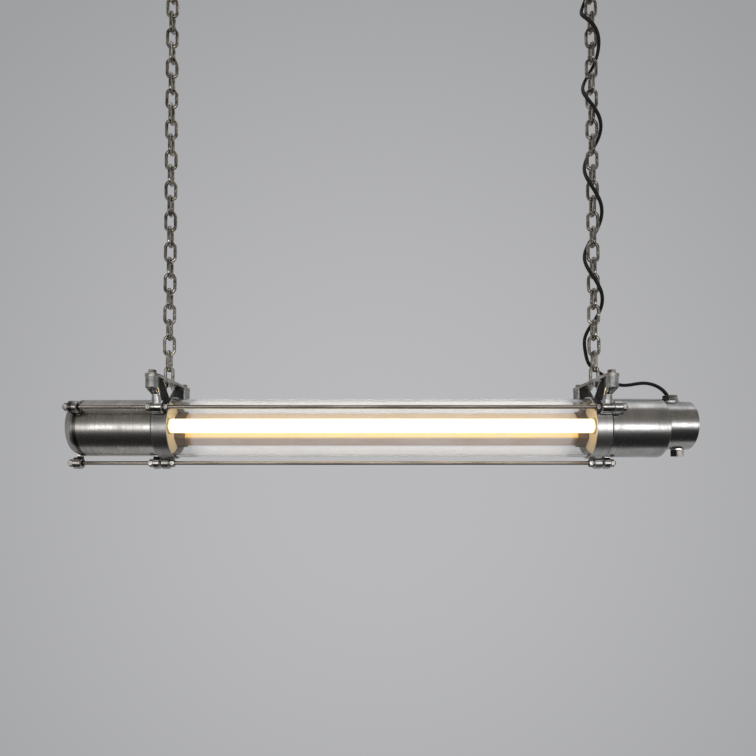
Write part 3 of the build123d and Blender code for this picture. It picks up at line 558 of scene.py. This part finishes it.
# %% Old steel
def old_steel(name, rubbed, stained, roughness, stain_mm, pore_depth):
    """Bare waxed steel with brown stains. The stain size is in mm along X, Y and Z."""
    material, tree, shader, place = start_finish(name)
    stains = add(tree, "ShaderNodeMapping", {"Vector": place, "Scale": [per_mm(size) for size in stain_mm]})
    stains = add(tree, "ShaderNodeTexNoise", {"Vector": stains.outputs[0], "Scale": 1.0, "Detail": 5.0})
    share = add(tree, "ShaderNodeMapRange", {"Value": stains.outputs[0], "From Min": 0.38, "From Max": 0.62})
    colour = add(tree, "ShaderNodeMix", {0: share.outputs[0], 6: linear(stained), 7: linear(rubbed)},
                 data_type="RGBA")
    colour = edge_wear_and_highlight(tree, colour.outputs[2], edge_wear_highlight_colour, edge_width / 2)
    dull = add(tree, "ShaderNodeMapRange", {"Value": stains.outputs[0], "From Min": 0.3, "From Max": 0.7,
                                            "To Min": roughness + 0.10, "To Max": roughness - 0.05})
    pores = add(tree, "ShaderNodeTexNoise", {"Vector": place, "Scale": per_mm(0.9), "Detail": 2.0})
    bump = add(tree, "ShaderNodeBump", {"Height": pores.outputs[0], "Strength": pore_depth,
                                        "Distance": 0.0002})
    tree.links.new(colour, shader.inputs["Base Color"])
    tree.links.new(dull.outputs[0], shader.inputs["Roughness"])
    tree.links.new(bump.outputs[0], shader.inputs["Normal"])
    shader.inputs["Metallic"].default_value = 1.0
    return material


finishes["strap_steel"] = old_steel("brushed_strap_steel", "#C2BFB9", "#857F77", 0.30, (9, 30, 9), 0.06)
finishes["rod_steel"] = old_steel("browned_rod_steel", "#B3AAA0", "#776E65", 0.20, (150, 6, 6), 0.01)
finishes["fastener_steel"] = old_steel("worn_fastener_steel", "#A6A29C", "#625D57", 0.24, (6, 6, 6), 0.04)
finishes["chain_steel"] = old_steel("waxed_chain_steel", "#C0BBB2", "#6A645C", 0.26, (7, 7, 12), 0.05)
finishes["gland_brass"] = old_steel("dull_nickelled_brass", "#77746F", "#4A4744", 0.23, (14, 14, 14), 0.02)
finishes["cap_aluminium"] = old_steel("bright_cap_aluminium", "#D8D7D4", "#B9B7B3", 0.25, (10, 10, 10), 0.02)
finishes["pin_brass"] = old_steel("bright_pin_brass", "#CDB27A", "#A98C52", 0.25, (4, 4, 4), 0.02)
print("steels", len(finishes) - 2)

# %% [markdown]
# ## Glass and the lit lamp
# The outer tube is clear borosilicate with a faint bloom of dust, which makes the glass a little paler
# than the wall behind it. The lamp's light on that dust is a painted glow: a very faint emission of the
# glass, left out at its clear ends, so the brackets stay dark. The lamp inside is a phosphor-coated tube
# that glows evenly, so it is an emitter. The glass lets the studio light through to the tray, so it casts
# no shadow of its own.

# %% Glass and the lit lamp
def clear_glass(name, dust_and_glow_half):
    """Clear glass with a thin bloom of dust, and a painted glow of the lamp's light on it, both left out at its
    clear ends.
    """
    material, tree, shader, place = start_finish(name)
    dust = add(tree, "ShaderNodeTexNoise", {"Vector": place, "Scale": per_mm(55), "Detail": 5.0})
    clear = add(tree, "ShaderNodeMapRange", {"Value": dust.outputs[0], "From Min": 0.3, "From Max": 0.7,
                                             "To Min": 0.80, "To Max": 0.88})
    across = add(tree, "ShaderNodeSeparateXYZ", {0: place})
    reach = add(tree, "ShaderNodeMath", {0: across.outputs[0]}, operation="ABSOLUTE")
    clear_end_fade = 0.010
    clear_end = add(tree, "ShaderNodeMapRange", {"Value": reach.outputs[0], "From Min": dust_and_glow_half - clear_end_fade,
                                             "From Max": dust_and_glow_half})
    wiped_clear = 0.98
    # A painted glow: faint emission that stands in for the lamp's light on the dust.
    painted_glow_strength = 0.035
    clear = add(tree, "ShaderNodeMix", {0: clear_end.outputs[0], 2: clear.outputs[0], 3: wiped_clear})
    painted_glow = add(tree, "ShaderNodeMapRange", {"Value": clear_end.outputs[0], "To Min": painted_glow_strength, "To Max": 0.0})
    tree.links.new(clear.outputs[0], shader.inputs["Transmission Weight"])
    tree.links.new(painted_glow.outputs[0], shader.inputs["Emission Strength"])
    shader.inputs["Base Color"].default_value = linear("#FBFCFC")
    # Colour of the painted glow.
    shader.inputs["Emission Color"].default_value = linear("#EFEDF8")
    shader.inputs["Roughness"].default_value = 0.015
    shader.inputs["IOR"].default_value = 1.47
    return material


def lit_phosphor(name, glow, strength, lit_half):
    """A coated lamp tube that glows evenly, and is brown and dark at its ends by the electrodes."""
    material, tree, shader, place = start_finish(name)
    across = add(tree, "ShaderNodeSeparateXYZ", {0: place})
    reach = add(tree, "ShaderNodeMath", {0: across.outputs[0]}, operation="ABSOLUTE")
    end_fade = 0.003
    end_glow = 0.12
    dark_end = add(tree, "ShaderNodeMapRange", {"Value": reach.outputs[0], "From Min": lit_half - end_fade,
                                                "From Max": lit_half + end_fade})
    power = add(tree, "ShaderNodeMapRange", {"Value": dark_end.outputs[0], "To Min": strength,
                                             "To Max": end_glow})
    coat = add(tree, "ShaderNodeMix", {0: dark_end.outputs[0], 6: linear("#F6F1E4"), 7: linear("#A98B62")},
               data_type="RGBA")
    tree.links.new(power.outputs[0], shader.inputs["Emission Strength"])
    tree.links.new(coat.outputs[2], shader.inputs["Base Color"])
    shader.inputs["Emission Color"].default_value = linear(glow)
    shader.inputs["Roughness"].default_value = 0.35
    return material


finishes["clear_glass"] = clear_glass("clear_borosilicate", 0.350)
finishes["lit_lamp"] = lit_phosphor("lit_phosphor", "#FFE7AE", 2.1, 0.392)
nodes["glass_tube"].visible_shadow = False
print("glass", finishes["clear_glass"].name, "lamp", finishes["lit_lamp"].name)

# %% [markdown]
# ## Paint, rubber and plastic
# Inside the glass the tray and end discs are enamelled cream, and the lampholders are moulded. Seals are
# black rubber, the flex has a woven black cover, and the ceiling plates are painted dark grey. These are
# not metal, so most share one simple finish: a colour with slight cloudiness, and a fine grain. The
# tray's enamel turns brown above and below the strip that the lamp lights best, as painted shade, and
# the flex has fine ridges across it, so these two have their own.

# %% Paint, rubber and plastic
def plain_coat(name, colour, shaded, roughness, grain_mm, depth):
    """Paint, rubber or plastic with a slight cloudiness and a fine grain."""
    material, tree, shader, place = start_finish(name)
    clouds = add(tree, "ShaderNodeTexNoise", {"Vector": place, "Scale": per_mm(25), "Detail": 4.0})
    mix = add(tree, "ShaderNodeMix", {0: clouds.outputs[0], 6: linear(shaded), 7: linear(colour)},
              data_type="RGBA")
    grain = add(tree, "ShaderNodeTexNoise", {"Vector": place, "Scale": per_mm(grain_mm), "Detail": 2.0})
    bump = add(tree, "ShaderNodeBump", {"Height": grain.outputs[0], "Strength": depth, "Distance": 0.0003})
    tree.links.new(mix.outputs[2], shader.inputs["Base Color"])
    tree.links.new(bump.outputs[0], shader.inputs["Normal"])
    shader.inputs["Roughness"].default_value = roughness
    return material


def enamel_with_painted_shade(name, fresh, painted_brown, top_edge, bottom_edge):
    """The tray's enamel, with painted shade in brown above and below the strip that the lamp lights best."""
    material, tree, shader, place = start_finish(name)
    top = lamp_axis + top_edge
    bottom = lamp_axis + bottom_edge
    # Painted shade: brown above and below the lamp's strip, fading in over these heights.
    top_fade = 0.008
    top_share = 0.45
    bottom_fade = 0.006
    height = add(tree, "ShaderNodeSeparateXYZ", {0: place})
    above = add(tree, "ShaderNodeMapRange", {"Value": height.outputs[2], "From Min": top - top_fade,
                                             "From Max": top, "To Max": top_share})
    below = add(tree, "ShaderNodeMapRange", {"Value": height.outputs[2], "From Min": bottom + bottom_fade,
                                             "From Max": bottom})
    edge = add(tree, "ShaderNodeMath", {0: above.outputs[0], 1: below.outputs[0]}, operation="MAXIMUM")
    clouds = add(tree, "ShaderNodeTexNoise", {"Vector": place, "Scale": per_mm(30), "Detail": 4.0})
    patchy = add(tree, "ShaderNodeMapRange", {"Value": clouds.outputs[0], "To Min": 0.85, "To Max": 1.0})
    share = add(tree, "ShaderNodeMath", {0: edge.outputs[0], 1: patchy.outputs[0]}, operation="MULTIPLY")
    mix = add(tree, "ShaderNodeMix", {0: share.outputs[0], 6: linear(fresh), 7: linear(painted_brown)},
              data_type="RGBA")
    gloss = add(tree, "ShaderNodeMapRange", {"Value": clouds.outputs[0], "To Min": 0.36, "To Max": 0.50})
    tree.links.new(mix.outputs[2], shader.inputs["Base Color"])
    tree.links.new(gloss.outputs[0], shader.inputs["Roughness"])
    return material


def woven_sheath(name, colour, worn):
    """The flex's woven cover: fine ridges across it, on the distance along the flex."""
    material, tree, shader, place = start_finish(name)
    along = add(tree, "ShaderNodeAttribute", {}, attribute_name="along")
    weave_pitch = 0.0022
    turn = 2 * math.pi / weave_pitch
    phase = add(tree, "ShaderNodeMath", {0: along.outputs["Fac"], 1: turn}, operation="MULTIPLY")
    ridge = add(tree, "ShaderNodeMath", {0: phase.outputs[0]}, operation="SINE")
    fluff = add(tree, "ShaderNodeTexNoise", {"Vector": place, "Scale": per_mm(1.2), "Detail": 3.0})
    mix = add(tree, "ShaderNodeMix", {0: fluff.outputs[0], 6: linear(colour), 7: linear(worn)},
              data_type="RGBA")
    bump = add(tree, "ShaderNodeBump", {"Height": ridge.outputs[0], "Strength": 0.3, "Distance": 0.0003})
    tree.links.new(mix.outputs[2], shader.inputs["Base Color"])
    tree.links.new(bump.outputs[0], shader.inputs["Normal"])
    shader.inputs["Roughness"].default_value = 0.55
    shader.inputs["Specular IOR Level"].default_value = 0.25
    return material


finishes["tray_paint"] = plain_coat("cream_enamel", "#EBDCC0", "#DCC8A6", 0.42, 2.0, 0.05)
# The tray darkens to brown away from the lamp's strip as painted shade.
tray_paint = enamel_with_painted_shade("cream_enamel_painted_shade", "#E6C06A", "#6E4624", 0.014, -0.0205)
bracket_paint = plain_coat("brown_bracket_paint", "#5C4328", "#49351F", 0.45, 2.0, 0.05)
finishes["seal_rubber"] = plain_coat("black_rubber", "#1C1B1A", "#121211", 0.60, 0.8, 0.15)
finishes["holder_plastic"] = plain_coat("white_moulded_plastic", "#ECE9E2", "#E2DED5", 0.38, 1.0, 0.05)
finishes["wire_sheath"] = plain_coat("white_wire_sheath", "#E2DED4", "#D6D1C5", 0.45, 1.0, 0.05)
finishes["ballast_steel"] = plain_coat("grey_core_paint", "#8E938E", "#7E837F", 0.45, 1.5, 0.10)
finishes["ceiling_paint"] = plain_coat("dark_grey_paint", "#4A4A4A", "#414141", 0.40, 1.2, 0.08)
finishes["flex_sheath"] = woven_sheath("black_woven_sheath", "#0B0B0B", "#191817")
print("finishes", len(finishes))

# %% [markdown]
# ## Dress the nodes
# The record of the part says which material slot each solid belongs to, so one loop dresses them all. A
# few solids have a finish of their own: the left casing is duller than the right one, and it and the left
# collar are painted darker as painted shade for the weaker light on the left; the tray is yellower than
# the end discs and carries painted shade towards its edges.

# %% Dress the nodes
own_finish = {
    "left_casing": left_finish_painted_shade,
    "left_collar": left_collar_painted_shade,
    "right_collar": right_collar_finish,
    "tray_brackets": bracket_paint,
    "lamp_tray": tray_paint,
}
for subpart in frame["record"]["subparts"]:
    mesh = nodes[subpart["node"]].data
    mesh.materials.clear()
    mesh.materials.append(own_finish.get(subpart["node"], finishes[subpart["material_slot"]]))
for piece in flexes:
    piece.data.materials.append(finishes["flex_sheath"])
for piece, slot in details:
    piece.data.materials.append(finishes[slot])

# %% [markdown]
# ## Backdrop
# The studio has no walls: the world itself is the backdrop, paler in the middle than at the sides as a
# lit wall is. A plane behind the lamp would do for one view, but not for a walk round it. What the camera
# and reflections see and what lights the matt surfaces are set apart, so that the backdrop can be matched
# on its own.

# %% Backdrop
backdrop_light = "#B9B9BB"
backdrop_dark = "#9FA0A2"
world = bpy.data.worlds.new("studio")
world.use_nodes = True
bpy.context.scene.world = world
tree = world.node_tree
sky = tree.nodes["Background"]
direction = add(tree, "ShaderNodeTexCoord", {})
parts = add(tree, "ShaderNodeSeparateXYZ", {0: direction.outputs["Generated"]})
facing = add(tree, "ShaderNodeMath", {0: parts.outputs[1]}, operation="ABSOLUTE")
middle = add(tree, "ShaderNodeMapRange", {"Value": facing.outputs[0], "From Min": 0.70, "From Max": 0.99})
shade = add(tree, "ShaderNodeMix", {0: middle.outputs[0], 6: linear(backdrop_dark),
                                    7: linear(backdrop_light)}, data_type="RGBA")
rays = add(tree, "ShaderNodeLightPath", {})
seen = add(tree, "ShaderNodeMath", {0: rays.outputs["Is Camera Ray"], 1: rays.outputs["Is Glossy Ray"]},
           operation="MAXIMUM")
seen = add(tree, "ShaderNodeMath", {0: seen.outputs[0], 1: rays.outputs["Is Transmission Ray"]},
           operation="MAXIMUM")
glow = add(tree, "ShaderNodeMix", {0: seen.outputs[0], 6: linear("#A6A6A6"), 7: shade.outputs[2]},
           data_type="RGBA")
tree.links.new(glow.outputs[2], sky.inputs["Color"])
print("backdrop", backdrop_light, "to", backdrop_dark)

# %% [markdown]
# ## Floor and cards
# A pale floor far below keeps the lamp's shadow and fades into the backdrop. Metal needs something dark
# to reflect or it looks like paper, so photographers set cards in front of it: a dark one low down and a
# grey one above. The cards are seen only in reflections.

# %% Floor and cards
floor_drop = 1.45


def stage_card(name, corners, material):
    """A flat stage piece from its corners."""
    form = bmesh.new()
    form.faces.new([form.verts.new(corner) for corner in corners])
    mesh = bpy.data.meshes.new(name)
    form.to_mesh(mesh)
    form.free()
    mesh.materials.append(material)
    card = bpy.data.objects.new(name, mesh)
    bpy.context.scene.collection.objects.link(card)
    return card


def floor_paint(name, colour, fade_from, fade_to):
    """Pale floor paint that fades into the backdrop far from the object."""
    material, tree, shader, place = start_finish(name)
    flat = add(tree, "ShaderNodeVectorMath", {0: place, 1: (1, 1, 0)}, operation="MULTIPLY")
    reach = add(tree, "ShaderNodeVectorMath", {0: flat.outputs[0]}, operation="LENGTH")
    solid = add(tree, "ShaderNodeMapRange", {"Value": reach.outputs["Value"], "From Min": fade_from,
                                             "From Max": fade_to, "To Min": 1.0, "To Max": 0.0})
    tree.links.new(solid.outputs[0], shader.inputs["Alpha"])
    shader.inputs["Base Color"].default_value = linear(colour)
    shader.inputs["Roughness"].default_value = 0.7
    return material


def card_paint(name, colour):
    """A plain card for reflections."""
    material, tree, shader, place = start_finish(name)
    shader.inputs["Base Color"].default_value = linear(colour)
    shader.inputs["Roughness"].default_value = 0.9
    return material


floor_z = lamp_axis - floor_drop
reach = 6.0
stage_card("floor", [(-reach, -reach, floor_z), (reach, -reach, floor_z), (reach, reach, floor_z),
                     (-reach, reach, floor_z)], floor_paint("pale_floor_paint", "#E4E4E4", 0.8, 1.8))
dark_card = card_paint("dark_card", "#161616")
grey_card = card_paint("grey_card", "#A8A29A")
wide = 2.2
cards = [
    stage_card("low_card", [(-wide, -1.6, lamp_axis - 0.45), (wide, -1.6, lamp_axis - 0.45),
                            (wide, -0.1, lamp_axis - 1.4), (-wide, -0.1, lamp_axis - 1.4)], dark_card),
    stage_card("high_card", [(-wide, -1.9, lamp_axis + 0.50), (wide, -1.9, lamp_axis + 0.50),
                             (wide, -0.3, lamp_axis + 1.5), (-wide, -0.3, lamp_axis + 1.5)], grey_card),
]
for card in cards:
    card.visible_camera = False
    card.visible_diffuse = False
    card.visible_transmission = False
    card.visible_shadow = False
print("floor at", round(floor_z, 3), "cards", len(cards))

# %% [markdown]
# ## Lights
# One long soft light at the camera's height draws the bright band along the casings. A round metal drum
# shows a light as a line, and the light's height sets how wide that line is. A large box above lifts the
# tops of the castings and the chain.

# %% Lights
def soft_light(name, place, aim, width, height, watts):
    """A soft box that points from its place to its aim."""
    data = bpy.data.lights.new(name, "AREA")
    data.shape = "RECTANGLE"
    data.size = width
    data.size_y = height
    data.energy = watts
    light = bpy.data.objects.new(name, data)
    light.location = place
    light.rotation_euler = (Vector(aim) - Vector(place)).to_track_quat("-Z", "Y").to_euler()
    light.visible_camera = False
    bpy.context.scene.collection.objects.link(light)
    return light


centre = Vector((0, 0, lamp_axis))
soft_light("front_strip", (0.1, -2.3, lamp_axis - 0.05), centre, 4.1, 0.55, 21)
soft_light("top_box", (0.2, -0.4, lamp_axis + 2.0), centre, 3.0, 3.0, 20)
bpy.context.scene.view_settings.view_transform = "Standard"
